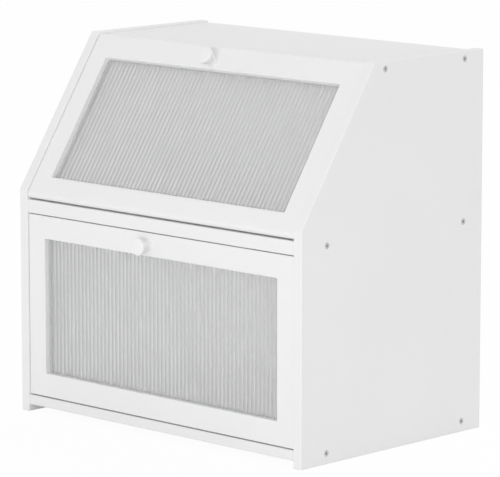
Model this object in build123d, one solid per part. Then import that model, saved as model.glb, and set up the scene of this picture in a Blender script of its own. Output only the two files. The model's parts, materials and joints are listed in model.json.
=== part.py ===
from build123d import *
from collections import namedtuple
import math
import os

# A two-tier bread box: a case of painted boards with a sloped upper flap door and an upright lower one.
# Sizes are in millimetres. +X is right, +Y is back and +Z is up. The origin lies under the middle of the
# whole box, knobs included, on the surface that it stands on.

# Case boards
overall_width = 400.0
overall_depth = 268.0
overall_height = 390.0
board = 10.5            # side, top and bottom panels
shelf_board = 14.0
back_board = 3.0
knee_rise = 11.0        # above the shelf, where the side panels' front edges start to slope
slope_run = 104.0       # how far behind the front the slope ends
foot_height = 7.0       # underside of the bottom panel above the counter
lower_opening = 192.5   # clear height between bottom panel and shelf
top_recess = 2.4        # top panel below the side panels' top edges
front_recess = 2.2      # lower door and rails behind the side panels' front edges
slope_recess = 2.5      # upper door behind the sloped edges
edge_round = 1.0        # softened edges of the case's boards
back_room = 0.2         # play round the back panel

# Doors
door_board = 10.0
door_round = 0.6        # softened edges of the doors
side_gap = 0.4          # door ends to side panels
upper_flap_gap = 1.5    # below the upper door
over_flap_gap = 0.9     # above the lower door
under_flap_gap = 1.4    # below the lower door
top_gap = 0.8           # upper door to the bevelled edge of the top panel
stile_width = 23.6
rail_width = 23.8
lower_bottom_rail = 24.5
upper_top_rail = 25.2
lip_depth = 5.8         # frame in front of the pane
rebate_width = 5.0      # ledge behind the frame that holds pane and beads
window_corner = 1.5
window_round = 0.8
pane_thickness = 2.0
rib_pitch = 5.5
rib_height = 1.15
bead_round = 0.8
bead_pin_diameter = 1.0
bead_pin_length = 10.0
bead_pin_depth_share = 0.45
long_bead_pin_shares = (-0.8, -0.27, 0.27, 0.8)
short_bead_pin_shares = (-0.6, 0.6)

# Pivots
pin_diameter = 3.0
pin_depth = 12.0        # pressed into the end of a stile
pin_end_room = 0.5
bush_diameter = 6.0
bush_length = 8.0
running_gap = 0.05      # pin in bush, on the radius
lower_pin_depth = 4.0   # behind the lower door's face
lower_pin_rise = 8.0    # above the lower door's bottom edge

# Knobs
knob_length = 17.0
knob_head_diameter = 18.0
knob_head_back_diameter = 15.4
knob_neck_diameter = 10.4
knob_base_diameter = 11.0
knob_neck_height = 3.0
knob_head_height = 10.0     # where the head starts
knob_edge_round = 1.5
knob_dome = 0.5
knob_offset = -12.5     # from the middle of the door
lower_knob_drop = 12.3  # below the top edge of the door's face
upper_knob_drop = 17.3
knob_screw_diameter = 4.0
knob_screw_grip = 12.0  # length inside the knob
knob_screw_head_diameter = 7.0
knob_screw_head_height = 2.4

# Magnetic catches and the blocks that the lower door closes against
magnet_diameter = 6.0
magnet_length = 3.5
strike_diameter = 7.0
strike_thickness = 1.5
catch_gap = 0.4
catch_span_share = 0.6
block_length = 45.0
block_height = 14.0
block_depth = 14.0
block_screw_share = 0.33

# Countersunk screws
case_screw_head = 7.0
case_screw_shank = 3.5
case_screw_length = 38.0
back_screw_head = 5.5
back_screw_shank = 2.5
back_screw_length = 16.0
block_screw_head = 6.0
block_screw_shank = 3.0
block_screw_length = 24.0
cross_span_share = 0.51     # the driver recess, in head diameters
cross_slot_share = 0.14
cross_depth_share = 0.23
head_sink = 0.2         # heads lie just below the surface
front_screw_depth = 36.5
rear_screw_inset = 29.0
top_screw_inset = 5.4   # below the top panel's surface
bottom_screw_inset = 4.0    # above the bottom panel's underside
top_screw_margin = 5.0  # behind the top panel's bevel
back_screw_shares = (-0.85, 0.0, 0.85)

# Fits
seat_gap = 0.1          # loose seats, such as a pane in its rebate
fit_gap = 0.05          # close fits that are glued, pressed or screwed
cut_over = 1.0          # overrun of every cut

# Planes of the case
half_width = overall_width / 2
inner_half = half_width - board
front_reach = knob_length - front_recess
front_y = (front_reach - overall_depth) / 2
back_y = front_y + overall_depth
panel_back = back_y - back_board
rail_front = front_y + front_recess
bottom_top = foot_height + board
shelf_bottom = bottom_top + lower_opening
shelf_top = shelf_bottom + shelf_board
knee_height = shelf_top + knee_rise
top_surface = overall_height - top_recess
top_under = top_surface - board
slope = math.atan2(overall_height - knee_height, slope_run)
lean = 90.0 - math.degrees(slope)

# Hinge axes. The upper door's bottom edge is a half round about its own axis.
door_half = inner_half - side_gap
nose = door_board / 2
lower_axis_y = rail_front + lower_pin_depth
lower_axis_z = bottom_top + under_flap_gap + lower_pin_rise
upper_axis_z = shelf_top + upper_flap_gap + nose
upper_axis_y = (
    front_y + (upper_axis_z - knee_height) / math.tan(slope) + (slope_recess + nose) / math.sin(slope))
lower_place = Pos(0, lower_axis_y, lower_axis_z)
upper_place = Pos(0, upper_axis_y, upper_axis_z) * Rot(-lean, 0, 0)


def sloped_y(z, depth):
    """Where a plane parallel to the upper door, this far behind its axis, is at height z."""
    return upper_axis_y + (z - upper_axis_z) / math.tan(slope) + depth / math.sin(slope)


def sloped_height(z, depth):
    """Distance up the upper door, from its axis, of the point at height z on that plane."""
    return (z - upper_axis_z + depth * math.cos(slope)) / math.sin(slope)


def box(x_range, y_range, z_range):
    """Box between pairs of coordinates."""
    ranges = (x_range, y_range, z_range)
    middle = [(low + high) / 2 for low, high in ranges]
    return Pos(*middle) * Box(*[abs(high - low) for low, high in ranges])


def prism(points, x_range):
    """Board with an outline of (y, z) points, between two X planes."""
    start, end = x_range
    outline = Polyline(*[(start, y, z) for y, z in points], close=True)
    return Solid.extrude(Face(outline.wire()), (end - start, 0, 0))


def rod(start, direction, length, diameter):
    """Round rod from a start point."""
    return extrude(Plane(origin=start, z_dir=direction) * Circle(diameter / 2), amount=length)


def taper(start, direction, length, diameter, end_diameter):
    """Cone or cone frustum from a start point."""
    cone = Cone(diameter / 2, end_diameter / 2, length, align=(Align.CENTER, Align.CENTER, Align.MIN))
    return Plane(origin=start, z_dir=direction).location * cone


def step_along(start, direction, distance):
    """The point this far from start."""
    return tuple(s + d * distance for s, d in zip(start, direction))


Screw = namedtuple("Screw", "head shank length")
case_screw = Screw(case_screw_head, case_screw_shank, case_screw_length)
back_screw = Screw(back_screw_head, back_screw_shank, back_screw_length)
block_screw = Screw(block_screw_head, block_screw_shank, block_screw_length)


def head_length(screw):
    """Height of a ninety degree countersunk head."""
    return (screw.head - screw.shank) / 2


def cross_recess(head, start, direction):
    """Cross-shaped driver recess in a head of this diameter."""
    place = Plane(origin=start, z_dir=direction).location
    span = cross_span_share * head
    slot = cross_slot_share * head
    depth = cross_depth_share * head
    return place * (Box(span, slot, 2 * depth) + Box(slot, span, 2 * depth))


def countersunk_screw(screw, surface, direction):
    """Screw driven into a surface point: head, shank, point and driver recess."""
    start = step_along(surface, direction, head_sink)
    neck = step_along(start, direction, head_length(screw))
    point = step_along(start, direction, screw.length - screw.shank)
    body = taper(start, direction, head_length(screw), screw.head, screw.shank)
    body += rod(neck, direction, screw.length - screw.shank - head_length(screw), screw.shank)
    body += taper(point, direction, screw.shank, screw.shank, 0)
    return body - cross_recess(screw.head, start, direction)


def screw_hole(screw, surface, direction):
    """Countersunk hole for the screw, with the close fit round it."""
    head = screw.head + 2 * fit_gap
    shank = screw.shank + 2 * fit_gap
    start = step_along(surface, direction, head_sink)
    outside = step_along(surface, direction, -cut_over)
    hole = rod(outside, direction, cut_over + head_sink, head)
    hole += taper(start, direction, head_length(screw), head, shank)
    return hole + rod(surface, direction, head_sink + screw.length + fit_gap, shank)


def round_front(panel):
    """Softens the long front edges of a board that runs from side to side."""
    front_edges = panel.edges().filter_by(Axis.X).sort_by(Axis.Y)[:2]
    return panel.fillet(edge_round, front_edges)


# Screw places: the point on the surface that each head lies in
def case_screw_heads(side):
    """Six heads on the outer face of one side panel."""
    rear = back_y - rear_screw_inset
    front = front_y + front_screw_depth
    top = top_surface - top_screw_inset
    top_front = sloped_y(top, nose + top_gap) + top_screw_margin
    middle = (shelf_bottom + shelf_top) / 2
    bottom = foot_height + bottom_screw_inset
    places = [
        (front, bottom), (rear, bottom), (front, middle), (rear, middle), (top_front, top), (rear, top)]
    return [(side * half_width, y, z) for y, z in places]


def back_screw_heads():
    """Three rows of heads on the back panel, into the bottom panel, the shelf and the top panel."""
    rows = [foot_height + board / 2, (shelf_bottom + shelf_top) / 2, top_under + board / 2]
    return [(share * inner_half, back_y, z) for z in rows for share in back_screw_shares]


def block_centre(side):
    """Middle of the front face of a stop block."""
    return (
        side * catch_span_share * door_half,
        rail_front + door_board + catch_gap,
        shelf_bottom - block_height / 2)


def block_screw_heads(side):
    """Two heads on the underside of a stop block."""
    x, y, z = block_centre(side)
    offset = block_screw_share * block_length
    return [(x + step, y + block_depth / 2, z - block_height / 2) for step in (-offset, offset)]


def case_screw_cuts(side):
    """Holes of the case screws on one side, to be cut from whatever they enter."""
    return [screw_hole(case_screw, start, (-side, 0, 0)) for start in case_screw_heads(side)]


def back_screw_cuts():
    """Holes of all back panel screws."""
    return [screw_hole(back_screw, start, (0, -1, 0)) for start in back_screw_heads()]


def block_screw_cuts(side):
    """Holes of the screws in one stop block."""
    return [screw_hole(block_screw, start, (0, 0, 1)) for start in block_screw_heads(side)]


# Case pieces
def side_panel(side):
    """Side board with the sloped front edge, and blind holes for the two pivot bushes."""
    outline = [
        (front_y, 0), (back_y, 0), (back_y, overall_height),
        (front_y + slope_run, overall_height), (front_y, knee_height)]
    panel = prism(outline, (side * inner_half, side * half_width))
    panel = panel.fillet(edge_round, panel.edges())
    for y, z in ((lower_axis_y, lower_axis_z), (upper_axis_y, upper_axis_z)):
        mouth = (side * (inner_half - cut_over), y, z)
        panel -= rod(mouth, (side, 0, 0), cut_over + bush_length, bush_diameter + 2 * fit_gap)
    return panel - case_screw_cuts(side)


def top_panel():
    """Top board, bevelled in front to lie parallel to the upper door's back."""
    bevel = nose + top_gap
    outline = [
        (sloped_y(top_surface, bevel), top_surface), (panel_back, top_surface),
        (panel_back, top_under), (sloped_y(top_under, bevel), top_under)]
    panel = round_front(prism(outline, (-inner_half, inner_half)))
    panel -= case_screw_cuts(-1) + case_screw_cuts(1) + back_screw_cuts()
    return panel - [magnet_pocket(*place) for place in upper_magnets()]


def cross_board(low, high):
    """Shelf or bottom board between the side panels."""
    panel = round_front(box((-inner_half, inner_half), (rail_front, panel_back), (low, high)).solid())
    for side in (-1, 1):
        panel -= case_screw_cuts(side) + block_screw_cuts(side)
    return panel - back_screw_cuts()


def back_panel():
    """Thin back between the side panels, flush with their rear edges."""
    reach = inner_half - back_room
    return box((-reach, reach), (panel_back, back_y), (foot_height, top_surface)) - back_screw_cuts()


def stop_block(side):
    """Block under the shelf, behind the lower door's top rail, with a magnet in its face."""
    x, y, z = block_centre(side)
    half_length = block_length / 2
    half_height = block_height / 2
    block = box(
        (x - half_length, x + half_length), (y, y + block_depth), (z - half_height, z + half_height))
    block = block.solid().fillet(edge_round, block.solid().edges())
    return block - block_screw_cuts(side) - magnet_pocket(*lower_magnet(side))


def lower_magnet(side):
    """Face centre of a magnet in a stop block, and the direction that it goes in."""
    return block_centre(side), (0, 1, 0)


def upper_magnets():
    """Face centres of the magnets in the top panel's bevel, and the direction that they go in."""
    depth = nose + top_gap
    z = (top_surface + top_under) / 2
    direction = (0, math.sin(slope), -math.cos(slope))
    span = catch_span_share * door_half
    return [((side * span, sloped_y(z, depth), z), direction) for side in (-1, 1)]


def magnet(face, direction):
    """Round magnet, flush with the face that it is let into."""
    return rod(face, direction, magnet_length, magnet_diameter)


def magnet_pocket(face, direction):
    """Hole for a magnet."""
    mouth = step_along(face, direction, -cut_over)
    return rod(mouth, direction, cut_over + magnet_length + fit_gap, magnet_diameter + 2 * fit_gap)


def pivot_bush(side, y, z):
    """Plastic sleeve in a side panel, flush with its inner face."""
    bore = pin_diameter + 2 * running_gap
    mouth = (side * inner_half, y, z)
    sleeve = rod(mouth, (side, 0, 0), bush_length, bush_diameter)
    return sleeve - rod(mouth, (side, 0, 0), bush_length, bore)


# Door pieces, upright about their own hinge axis. front is the face's y, and low and high are the window's
# bottom and top edges.
Door = namedtuple("Door", "blank front low high knob strike")


def lower_blank():
    """Upright door board, softened all round."""
    low = -lower_pin_rise
    high = low + lower_opening - under_flap_gap - over_flap_gap
    front = -lower_pin_depth
    solid = box((-door_half, door_half), (front, front + door_board), (low, high)).solid()
    return solid.fillet(door_round, solid.edges())


def upper_blank():
    """Sloped door board: half round below, and cut level with the top panel above."""
    front_top = (-door_half, -nose, sloped_height(top_surface, -nose))
    back_top = (-door_half, nose, sloped_height(top_surface, nose))
    front_low = (-door_half, -nose, 0)
    back_low = (-door_half, nose, 0)
    sides = [Line(front_low, front_top), Line(front_top, back_top), Line(back_top, back_low)]
    half_round = ThreePointArc(back_low, (-door_half, 0, -nose), front_low)
    solid = Solid.extrude(Face(Wire([*sides, half_round])), (2 * door_half, 0, 0))
    top_edges = solid.edges().filter_by(Axis.X).sort_by(Axis.Z)[-2:]
    end_edges = [edge for face in solid.faces().filter_by(Axis.X) for edge in face.edges()]
    return solid.fillet(door_round, [*top_edges, *end_edges])


def lower_door():
    """Sizes of the upright door."""
    top = lower_opening - under_flap_gap - over_flap_gap - lower_pin_rise
    return Door(
        blank=lower_blank(), front=-lower_pin_depth,
        low=lower_bottom_rail - lower_pin_rise, high=top - rail_width,
        knob=top - lower_knob_drop, strike=block_centre(1)[2] - lower_axis_z)


def upper_door():
    """Sizes of the sloped door."""
    top = sloped_height(top_surface, -nose)
    catch_z = (top_surface + top_under) / 2
    return Door(
        blank=upper_blank(), front=-nose,
        low=rail_width - nose, high=top - upper_top_rail,
        knob=top - upper_knob_drop, strike=sloped_height(catch_z, nose + top_gap))


def window_half():
    """Half the width of a window, the same in both doors."""
    return door_half - stile_width


def strike_places(door):
    """Centres of the strike discs on the door's back."""
    span = catch_span_share * door_half
    return [(side * span, door.front + door_board, door.strike) for side in (-1, 1)]


def bead_pins(door):
    """Start point and outward direction of each brad, on the beads' inner edges."""
    depth = bead_front(door) + bead_pin_depth_share * (door.front + door_board - bead_front(door))
    middle = (door.low + door.high) / 2
    half_height = (door.high - door.low) / 2
    pins = []
    for share in long_bead_pin_shares:
        x = share * window_half()
        pins += [((x, depth, door.high), (0, 0, 1)), ((x, depth, door.low), (0, 0, -1))]
    for share in short_bead_pin_shares:
        z = middle + share * half_height
        pins += [((side * window_half(), depth, z), (side, 0, 0)) for side in (-1, 1)]
    return pins


def bead_pin_cuts(door):
    """Holes for the brads."""
    diameter = bead_pin_diameter + 2 * fit_gap
    length = bead_pin_length + fit_gap
    return [rod(*place, length, diameter) for place in bead_pins(door)]


def pane_front(door):
    """Plane of the pane's rib crests."""
    return door.front + lip_depth + seat_gap


def bead_front(door):
    """Plane of the beads' front faces."""
    return pane_front(door) + pane_thickness + seat_gap


def door_frame(door):
    """Routed board frame with its window, rebate and holes."""
    back = door.front + door_board
    height = door.high - door.low
    middle = (door.low + door.high) / 2
    window = Plane(origin=(0, back, middle), x_dir=(1, 0, 0), z_dir=(0, -1, 0)) * RectangleRounded(
        2 * window_half(), height, window_corner)
    frame = (door.blank - extrude(window, amount=door_board + cut_over)).solid()
    face = frame.faces().sort_by(Axis.Y)[0]
    frame = frame.fillet(window_round, face.inner_wires()[0].edges())
    reach = window_half() + rebate_width
    frame -= box(
        (-reach, reach), (door.front + lip_depth, back + cut_over),
        (door.low - rebate_width, door.high + rebate_width))
    for side in (-1, 1):
        start = (side * (door_half + cut_over), 0, 0)
        frame -= rod(start, (-side, 0, 0), cut_over + pin_depth + fit_gap, pin_diameter + 2 * fit_gap)
    for x, y, z in strike_places(door):
        mouth = (x, y + cut_over, z)
        depth = cut_over + strike_thickness + fit_gap
        frame -= rod(mouth, (0, -1, 0), depth, strike_diameter + 2 * fit_gap)
    knob_bore = knob_screw_diameter + 2 * fit_gap
    mouth = (knob_offset, back + cut_over, door.knob)
    frame -= rod(mouth, (0, -1, 0), door_board + 2 * cut_over, knob_bore)
    return frame - bead_pin_cuts(door)


def window_pane(door):
    """Clear pane with round ribs across the window, and a flat land along each side in the rebate."""
    half = window_half() + rebate_width - seat_gap
    crest = pane_front(door)
    valley = crest + rib_height
    back = crest + pane_thickness
    low = door.low - rebate_width + seat_gap
    high = door.high + rebate_width - seat_gap
    gaps = 2 * math.floor(window_half() / rib_pitch)
    land = gaps * rib_pitch / 2
    rib_radius = (rib_pitch ** 2 / 4 + rib_height ** 2) / (2 * rib_height)
    flank = crest + rib_radius - math.sqrt(rib_radius ** 2 - rib_pitch ** 2 / 16)
    edges = [
        Line((-land, crest, low), (-half, crest, low)),
        Line((-half, crest, low), (-half, back, low)),
        Line((-half, back, low), (half, back, low)),
        Line((half, back, low), (half, crest, low)),
        Line((half, crest, low), (land, crest, low)),
        ThreePointArc(
            (land, crest, low), (land - rib_pitch / 4, flank, low), (land - rib_pitch / 2, valley, low))]
    for index in range(1, gaps):
        middle = land - index * rib_pitch
        edges.append(ThreePointArc(
            (middle + rib_pitch / 2, valley, low), (middle, crest, low),
            (middle - rib_pitch / 2, valley, low)))
    edges.append(ThreePointArc(
        (rib_pitch / 2 - land, valley, low), (rib_pitch / 4 - land, flank, low), (-land, crest, low)))
    return Solid.extrude(Face(Wire(edges)), (0, 0, high - low))


def bead(door, x_range, z_range, along, inward):
    """Glazing bead with its exposed inner edge rounded."""
    strip = box(x_range, (bead_front(door), door.front + door_board), z_range).solid()
    outward = inward + Vector(0, 1, 0)
    exposed = max(strip.edges().filter_by(along), key=lambda edge: edge.center().dot(outward))
    return strip.fillet(bead_round, [exposed]) - bead_pin_cuts(door)


def beads(door):
    """Four beads: the long ones run from wall to wall, and the short ones lie between them."""
    half = window_half()
    reach = half + rebate_width - seat_gap
    low = door.low - rebate_width + seat_gap
    high = door.high + rebate_width - seat_gap
    upright = (door.low + seat_gap, door.high - seat_gap)
    return {
        "top_bead": bead(door, (-reach, reach), (door.high, high), Axis.X, Vector(0, 0, -1)),
        "bottom_bead": bead(door, (-reach, reach), (low, door.low), Axis.X, Vector(0, 0, 1)),
        "left_bead": bead(door, (-reach, -half), upright, Axis.Z, Vector(1, 0, 0)),
        "right_bead": bead(door, (half, reach), upright, Axis.Z, Vector(-1, 0, 0))}


def knob(door):
    """Turned knob that widens forwards from a slightly waisted base to a shallow dome."""
    base = knob_base_diameter / 2
    head = knob_head_diameter / 2
    shoulder = knob_length - knob_dome - knob_edge_round
    rim = knob_length - knob_dome
    corner = knob_edge_round * (1 - math.sqrt(2) / 2)
    rim_radius = head - knob_edge_round
    dome_radius = (rim_radius ** 2 + knob_dome ** 2) / (2 * knob_dome)
    dome_middle = knob_length - dome_radius + math.sqrt(dome_radius ** 2 - (rim_radius / 2) ** 2)
    profile = [
        Line((0, 0, 0), (base, 0, 0)),
        ThreePointArc(
            (base, 0, 0), (knob_neck_diameter / 2, 0, knob_neck_height),
            (knob_head_back_diameter / 2, 0, knob_head_height)),
        Line((knob_head_back_diameter / 2, 0, knob_head_height), (head, 0, shoulder)),
        ThreePointArc((head, 0, shoulder), (head - corner, 0, rim - corner), (rim_radius, 0, rim)),
        ThreePointArc((rim_radius, 0, rim), (rim_radius / 2, 0, dome_middle), (0, 0, knob_length)),
        Line((0, 0, knob_length), (0, 0, 0))]
    turned = revolve(Face(Wire(profile)), Axis.Z)
    place = Plane(origin=(knob_offset, door.front, door.knob), z_dir=(0, -1, 0)).location
    bore_depth = knob_screw_grip + seat_gap
    bore = rod((0, 0, -cut_over), (0, 0, 1), cut_over + bore_depth, knob_screw_diameter + 2 * fit_gap)
    return place * (turned - bore)


def knob_screw(door):
    """Pan head machine screw through the top rail into the knob."""
    seat = (knob_offset, door.front + door_board, door.knob)
    head = rod(seat, (0, 1, 0), knob_screw_head_height, knob_screw_head_diameter).solid()
    rim = head.edges().sort_by(Axis.Y)[-1]
    head = head.fillet(knob_screw_head_height / 2, [rim])
    shank = rod(seat, (0, -1, 0), door_board + knob_screw_grip, knob_screw_diameter)
    outer = step_along(seat, (0, 1, 0), knob_screw_head_height)
    return head + shank - cross_recess(knob_screw_head_diameter, outer, (0, -1, 0))


def pivot_pin(side):
    """Steel pin from the end of a stile into the side panel's bush."""
    start = (side * (door_half - pin_depth), 0, 0)
    end = inner_half + bush_length - pin_end_room
    return rod(start, (side, 0, 0), end - door_half + pin_depth, pin_diameter)


def door_nodes(prefix, door, place):
    """All pieces of one door, set in the case."""
    pieces = {
        "door_frame": [door_frame(door)],
        "window_pane": [window_pane(door)],
        "knob": [knob(door)],
        "knob_screw": [knob_screw(door)],
        "left_pivot_pin": [pivot_pin(-1)],
        "right_pivot_pin": [pivot_pin(1)],
        "strike_discs": [
            rod(centre, (0, -1, 0), strike_thickness, strike_diameter) for centre in strike_places(door)],
        "bead_pins": [rod(*start, bead_pin_length, bead_pin_diameter) for start in bead_pins(door)]}
    for name, strip in beads(door).items():
        pieces[name] = [strip]
    return {f"{prefix}_{name}": [place * shape for shape in shapes] for name, shapes in pieces.items()}


def case_nodes():
    """All pieces that stay put."""
    nodes = {
        "top_panel": [top_panel()],
        "middle_shelf": [cross_board(shelf_bottom, shelf_top)],
        "bottom_panel": [cross_board(foot_height, bottom_top)],
        "back_panel": [back_panel()],
        "back_panel_screws": [
            countersunk_screw(back_screw, start, (0, -1, 0)) for start in back_screw_heads()],
        "upper_catch_magnets": [magnet(*place) for place in upper_magnets()],
        "lower_catch_magnets": [magnet(*lower_magnet(side)) for side in (-1, 1)],
        "stop_block_screws": [
            countersunk_screw(block_screw, start, (0, 0, 1))
            for side in (-1, 1) for start in block_screw_heads(side)]}
    for name, side in (("left", -1), ("right", 1)):
        nodes[f"{name}_side_panel"] = [side_panel(side)]
        nodes[f"{name}_stop_block"] = [stop_block(side)]
        nodes[f"{name}_case_screws"] = [
            countersunk_screw(case_screw, start, (-side, 0, 0)) for start in case_screw_heads(side)]
        nodes[f"upper_{name}_pivot_bush"] = [pivot_bush(side, upper_axis_y, upper_axis_z)]
        nodes[f"lower_{name}_pivot_bush"] = [pivot_bush(side, lower_axis_y, lower_axis_z)]
    return nodes


def save(name, shapes):
    """Writes one piece, or a group of like pieces, to its own file."""
    solids = [solid for shape in shapes for solid in shape.solids()]
    export_step(solids[0] if len(solids) == 1 else Compound(children=solids), f"parts/{name}.step")


os.makedirs("parts", exist_ok=True)
nodes = case_nodes()
nodes.update(door_nodes("upper", upper_door(), upper_place))
nodes.update(door_nodes("lower", lower_door(), lower_place))
for node, shapes in nodes.items():
    save(node, shapes)
print(len(nodes), "nodes")
print(f"upper hinge axis y {upper_axis_y:.3f} z {upper_axis_z:.3f}, lean {lean:.3f} degrees")
print(f"lower hinge axis y {lower_axis_y:.3f} z {lower_axis_z:.3f}")
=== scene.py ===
# %% [markdown]
# # A two-tier bread box
# The box arrives as a finished CAD model: boards, doors, panes, knobs and screws, each at its real
# size. Blender's share is the finish of every surface, the light and the camera, so this lesson is
# mostly about materials. We load the model once, keep its outer box, and move nothing.

# %% Load the model
import json
import math

import bpy
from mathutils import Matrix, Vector


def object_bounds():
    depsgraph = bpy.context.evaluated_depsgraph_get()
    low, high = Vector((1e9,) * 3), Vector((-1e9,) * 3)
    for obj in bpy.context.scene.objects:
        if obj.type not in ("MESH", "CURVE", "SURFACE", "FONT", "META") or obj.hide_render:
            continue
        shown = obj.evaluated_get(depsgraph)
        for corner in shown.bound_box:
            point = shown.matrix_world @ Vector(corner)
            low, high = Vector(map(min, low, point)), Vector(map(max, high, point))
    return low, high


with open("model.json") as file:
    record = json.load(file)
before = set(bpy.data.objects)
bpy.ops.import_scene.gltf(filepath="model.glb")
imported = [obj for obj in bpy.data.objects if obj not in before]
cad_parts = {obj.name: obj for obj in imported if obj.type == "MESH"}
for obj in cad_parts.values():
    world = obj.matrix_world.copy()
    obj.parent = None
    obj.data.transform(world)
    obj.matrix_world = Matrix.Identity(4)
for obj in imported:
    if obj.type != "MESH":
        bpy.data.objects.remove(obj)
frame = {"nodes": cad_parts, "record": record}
cad_low, cad_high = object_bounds()
print("nodes", len(frame["nodes"]), "box", [round(side, 4) for side in cad_high - cad_low])

# %% [markdown]
# ## Camera
# A long lens from the front right flattens the box, so that its upright edges stay nearly upright.
# The place and the angles below come from fitting the box's own corners to the picture. The frame is
# centred, so the lens needs no shift, and any other view keeps a plain camera.

# %% Make the camera
camera_place = Vector((2.4966, -2.5825, 0.7958))
camera_turn = math.radians(43.922)
camera_dip = math.radians(9.575)
camera_lens = 255.55
sensor_width = 36
far_clip = 100

camera_data = bpy.data.cameras.new("camera")
camera_data.lens = camera_lens
camera_data.sensor_width = sensor_width
camera_data.clip_end = far_clip
camera = bpy.data.objects.new("camera", camera_data)
bpy.context.scene.collection.objects.link(camera)
looks_along = Vector((
    -math.sin(camera_turn) * math.cos(camera_dip),
    math.cos(camera_turn) * math.cos(camera_dip),
    -math.sin(camera_dip)))
camera.location = camera_place
camera.rotation_euler = looks_along.to_track_quat("-Z", "Y").to_euler()
bpy.context.scene.camera = camera
bpy.context.scene.view_settings.view_transform = "Standard"
print("camera", [round(x, 3) for x in camera_place], "lens", camera_lens)

# %% [markdown]
# ## Daylight, lamps and floor
# White goods are photographed in a white room: light comes from everywhere, and a few broad lamps
# only decide which side is a shade lighter. The world gives the even part. What the camera, gloss and
# glass see of it is plain white, and the light that it sheds is a little weaker, which leaves room for
# the lamps. A low lamp in front lifts the doors, one high behind lifts the top alone, and a weak one
# fills the right side.

# %% Whiten the room
room_light = 0.73
white = (1, 1, 1, 1)


def seen_directly(tree):
    """One for rays that show a surface as it is: from the camera, in gloss and through glass."""
    path = tree.nodes.new("ShaderNodeLightPath")
    either = path.outputs["Is Camera Ray"]
    for ray in ("Is Glossy Ray", "Is Transmission Ray"):
        larger = tree.nodes.new("ShaderNodeMath")
        larger.operation = "MAXIMUM"
        tree.links.new(either, larger.inputs[0])
        tree.links.new(path.outputs[ray], larger.inputs[1])
        either = larger.outputs[0]
    return either


def white_room():
    """A world that looks plain white and sheds a little less light than that."""
    world = bpy.data.worlds.new("white_room")
    world.use_nodes = True
    tree = world.node_tree
    shed = tree.nodes["Background"]
    shed.inputs["Color"].default_value = white
    shed.inputs["Strength"].default_value = room_light
    shown = tree.nodes.new("ShaderNodeBackground")
    shown.inputs["Color"].default_value = white
    mix = tree.nodes.new("ShaderNodeMixShader")
    tree.links.new(seen_directly(tree), mix.inputs["Fac"])
    tree.links.new(shed.outputs["Background"], mix.inputs[1])
    tree.links.new(shown.outputs["Background"], mix.inputs[2])
    tree.links.new(mix.outputs["Shader"], tree.nodes["World Output"].inputs["Surface"])
    return world


bpy.context.scene.world = white_room()
print("room sheds", room_light)

# %% Hang the lamps
box_middle = (cad_low + cad_high) / 2
lamp_size = 1.6
lamps = {
    "low_front": ((1.5, -3.2, 0.27), 45),
    "high_rear": ((0.0, 1.9, 3.1), 18.7),
    "right_fill": ((3.5, 0.3, 0.4), 5),
}
for name, (place, watts) in lamps.items():
    lamp_data = bpy.data.lights.new(name, "AREA")
    lamp_data.shape = "DISK"
    lamp_data.size = lamp_size
    lamp_data.energy = watts
    lamp = bpy.data.objects.new(name, lamp_data)
    lamp.visible_camera = False
    lamp.location = place
    lamp.rotation_euler = (box_middle - lamp.location).to_track_quat("-Z", "Y").to_euler()
    bpy.context.scene.collection.objects.link(lamp)
    print("lamp", name, watts, "W")

# %% [markdown]
# The floor is pale board. What the camera, gloss and glass see of it is mostly plain white, so that it
# runs into the background without a horizon, and the rest keeps the box's shadow. It lies a hair below
# the box, so that the two never share a plane.

# %% Lay the floor
floor_white = 0.96
floor_size = 60
floor_drop = 0.0002
floor_tone = 0.9
floor_rough = 0.9


def grey(level):
    """A neutral tone."""
    return (level, level, level)


def floor_material():
    """Pale board that is seen as nearly white, with a trace of shadow."""
    material = bpy.data.materials.new("pale_floor")
    material.use_nodes = True
    tree = material.node_tree
    board = tree.nodes["Principled BSDF"]
    board.inputs["Base Color"].default_value = (*grey(floor_tone), 1)
    board.inputs["Roughness"].default_value = floor_rough
    glow = tree.nodes.new("ShaderNodeEmission")
    glow.inputs["Strength"].default_value = 1
    share = tree.nodes.new("ShaderNodeMath")
    share.operation = "MULTIPLY"
    share.inputs[1].default_value = floor_white
    mix = tree.nodes.new("ShaderNodeMixShader")
    tree.links.new(seen_directly(tree), share.inputs[0])
    tree.links.new(share.outputs[0], mix.inputs["Fac"])
    tree.links.new(board.outputs["BSDF"], mix.inputs[1])
    tree.links.new(glow.outputs["Emission"], mix.inputs[2])
    tree.links.new(mix.outputs["Shader"], tree.nodes["Material Output"].inputs["Surface"])
    return material


bpy.ops.mesh.primitive_plane_add(size=floor_size, location=(0, 0, -floor_drop))
floor = bpy.context.object
floor.name = "floor"
floor.data.materials.append(floor_material())
print("floor", floor.dimensions.x, "m wide")

# %% [markdown]
# ## Finishes
# Every finish starts from one Principled shader and reads Object coordinates, which are metres on this
# model, so a noise scale of 900 gives spots of about a millimetre. A few helpers keep the recipes
# short: one makes a noise, and the others stretch it to the roughness, the tones or the relief that a
# socket needs. Noise seldom leaves its middle range, so that range is what they stretch.

# %% Helpers for finishes
noise_low = 0.3
noise_high = 0.7


def finish(name, **sockets):
    """A new material whose Principled sockets hold these plain values."""
    material = bpy.data.materials.new(name)
    material.use_nodes = True
    shader = material.node_tree.nodes["Principled BSDF"]
    for socket, value in sockets.items():
        shader.inputs[socket.replace("_", " ")].default_value = value
    return material, material.node_tree, shader


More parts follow.
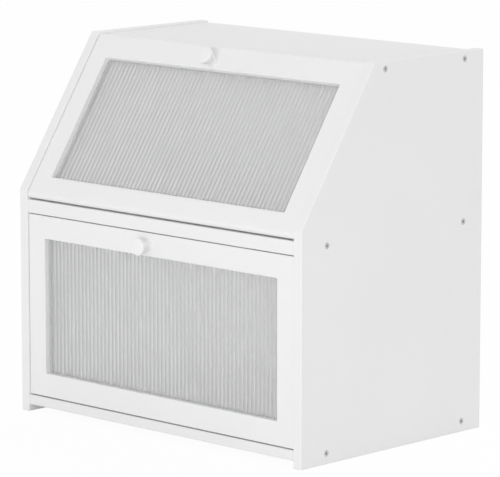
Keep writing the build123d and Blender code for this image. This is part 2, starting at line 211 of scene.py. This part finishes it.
def noise(tree, scale, detail=2, stretch=(1, 1, 1)):
    """Noise of this many waves a metre, drawn out along any axis whose stretch is small."""
    place = tree.nodes.new("ShaderNodeTexCoord")
    turn = tree.nodes.new("ShaderNodeMapping")
    turn.inputs["Scale"].default_value = stretch
    cloud = tree.nodes.new("ShaderNodeTexNoise")
    cloud.inputs["Scale"].default_value = scale
    cloud.inputs["Detail"].default_value = detail
    tree.links.new(place.outputs["Object"], turn.inputs["Vector"])
    tree.links.new(turn.outputs["Vector"], cloud.inputs["Vector"])
    return cloud.outputs["Fac"]


def spread(tree, value, low, high):
    """The value's middle range, stretched to run from low to high."""
    stretch = tree.nodes.new("ShaderNodeMapRange")
    stretch.inputs["From Min"].default_value = noise_low
    stretch.inputs["From Max"].default_value = noise_high
    stretch.inputs["To Min"].default_value = low
    stretch.inputs["To Max"].default_value = high
    tree.links.new(value, stretch.inputs["Value"])
    return stretch.outputs["Result"]


def tint(tree, value, low, high):
    """A colour between two tones, chosen by the value's middle range."""
    ramp = tree.nodes.new("ShaderNodeValToRGB")
    ramp.color_ramp.elements[0].position = noise_low
    ramp.color_ramp.elements[0].color = (*low, 1)
    ramp.color_ramp.elements[1].position = noise_high
    ramp.color_ramp.elements[1].color = (*high, 1)
    tree.links.new(value, ramp.inputs["Fac"])
    return ramp.outputs["Color"]


def relief(tree, shader, value, height):
    """Raises the surface by up to this many metres where the value is high."""
    bump = tree.nodes.new("ShaderNodeBump")
    bump.inputs["Strength"].default_value = 1
    bump.inputs["Distance"].default_value = height
    tree.links.new(value, bump.inputs["Height"])
    tree.links.new(bump.outputs["Normal"], shader.inputs["Normal"])


# %% [markdown]
# ## White paint on board
# The case and the doors are fibreboard under a sprayed matt white. Up close such paint is never one
# flat tone: it has a fine orange-peel relief of a few hundredths of a millimetre, and its sheen and its
# whiteness drift a little over a hand's width. The doors are sprayed apart from the case, so they get
# their own whites, and the turned knobs are smoother.

# %% Mix the paints
paint_gloss = 0.35
tone_waves = 9
sheen_waves = 40
peel_waves = 620
board_peel = 0.00003
knob_peel = 0.00001


def sprayed_paint(name, dark, light, peel, rough):
    """Matt paint with an orange-peel relief, drifting between two whites."""
    material, tree, shader = finish(name, Specular_IOR_Level=paint_gloss)
    tree.links.new(tint(tree, noise(tree, tone_waves, 3), dark, light), shader.inputs["Base Color"])
    tree.links.new(spread(tree, noise(tree, sheen_waves, 3), *rough), shader.inputs["Roughness"])
    relief(tree, shader, noise(tree, peel_waves), peel)
    return material


case_paint = sprayed_paint("case_paint", grey(0.856), grey(0.872), board_peel, (0.52, 0.62))
door_paint = sprayed_paint("door_paint", grey(0.864), grey(0.878), board_peel, (0.5, 0.6))
knob_paint = sprayed_paint("knob_paint", grey(0.87), grey(0.884), knob_peel, (0.34, 0.42))
print("paints", case_paint.name, door_paint.name, knob_paint.name)

# %% [markdown]
# ## Fluted acrylic
# The panes are pale plastic with round ribs on the front. Real refraction does most of the work: each
# rib is a small lens that smears what lies behind it sideways, and its far flank mirrors the white room
# as a thin bright line. The plastic is a little milky, so a share of it scatters light like paint and
# veils the inside, and its roughness drifts. Light that only passes through on its way to a shadow would
# get lost in the ribs, so for shadow rays the pane is a plain tinted film, and the inside of the box
# gets its daylight.

# %% Cast the acrylic
acrylic_bend = 1.49
haze_waves = 60


def cast_acrylic(name, tone, clear, haze):
    """Plastic that is clear for this share and milky for the rest, and lets lamp light through."""
    material, tree, shader = finish(
        name, Base_Color=(*tone, 1), IOR=acrylic_bend, Transmission_Weight=clear)
    tree.links.new(spread(tree, noise(tree, haze_waves, 3), *haze), shader.inputs["Roughness"])
    film = tree.nodes.new("ShaderNodeBsdfTransparent")
    film.inputs["Color"].default_value = (*tone, 1)
    path = tree.nodes.new("ShaderNodeLightPath")
    mix = tree.nodes.new("ShaderNodeMixShader")
    tree.links.new(path.outputs["Is Shadow Ray"], mix.inputs["Fac"])
    tree.links.new(shader.outputs["BSDF"], mix.inputs[1])
    tree.links.new(film.outputs["BSDF"], mix.inputs[2])
    tree.links.new(mix.outputs["Shader"], tree.nodes["Material Output"].inputs["Surface"])
    return material


fluted_acrylic = cast_acrylic("fluted_acrylic", (0.9, 0.905, 0.905), 0.7, (0.015, 0.035))
print("acrylic", fluted_acrylic.name)

# %% [markdown]
# ## Metal and nylon
# Screws, pins, strike discs and magnets are small, but the open doors show them. Plated steel has a
# faint cloudy tone, drawn steel has fine lines along its length, and the nylon bushes are a slightly
# waxy off-white, for which a little light passes below the surface.

# %% Plate the metal
mark_height = 0.000008
even = (1, 1, 1)
drawn_along_x = (0.05, 1, 1)


def metal(name, dark, light, rough, stretch, scale):
    """Bare metal with fine marks, drawn out as stretch says."""
    material, tree, shader = finish(name, Metallic=1)
    marks = noise(tree, scale, 4, stretch)
    tree.links.new(tint(tree, marks, dark, light), shader.inputs["Base Color"])
    tree.links.new(spread(tree, marks, *rough), shader.inputs["Roughness"])
    relief(tree, shader, marks, mark_height)
    return material


zinc = metal("zinc_plate", (0.52, 0.52, 0.53), grey(0.68), (0.28, 0.42), even, 900)
drawn_steel = metal("drawn_steel", grey(0.5), (0.64, 0.64, 0.63), (0.22, 0.36), drawn_along_x, 2200)
nickel = metal("nickel_plate", (0.62, 0.6, 0.57), (0.7, 0.68, 0.65), (0.12, 0.2), even, 500)
print("metals", zinc.name, drawn_steel.name, nickel.name)


# %% Mould the nylon
def moulded_nylon(name, dark, light, rough):
    """Off-white plastic that lets a little light in below its surface."""
    material, tree, shader = finish(name, Subsurface_Weight=0.15, Subsurface_Scale=0.002)
    tree.links.new(tint(tree, noise(tree, 300), dark, light), shader.inputs["Base Color"])
    tree.links.new(spread(tree, noise(tree, 500), *rough), shader.inputs["Roughness"])
    return material


nylon = moulded_nylon("nylon", (0.76, 0.76, 0.72), (0.82, 0.82, 0.79), (0.4, 0.5))
print("plastic", nylon.name)

# %% [markdown]
# ## Dress the nodes
# The CAD model already names a slot for each node, such as white_board or screw_steel. One table from
# slot to finish dresses all of them, and a node whose shape is right keeps its own mesh.

# %% Put each finish on its slot
finishes = {
    "white_board": case_paint,
    "door_board": door_paint,
    "knob_white": knob_paint,
    "fluted_acrylic": fluted_acrylic,
    "screw_steel": zinc,
    "pin_steel": drawn_steel,
    "magnet_nickel": nickel,
    "bush_nylon": nylon,
}
for subpart in frame["record"]["subparts"]:
    node = frame["nodes"][subpart["node"]]
    for slot in node.material_slots:
        slot.material = finishes[subpart["material_slot"]]
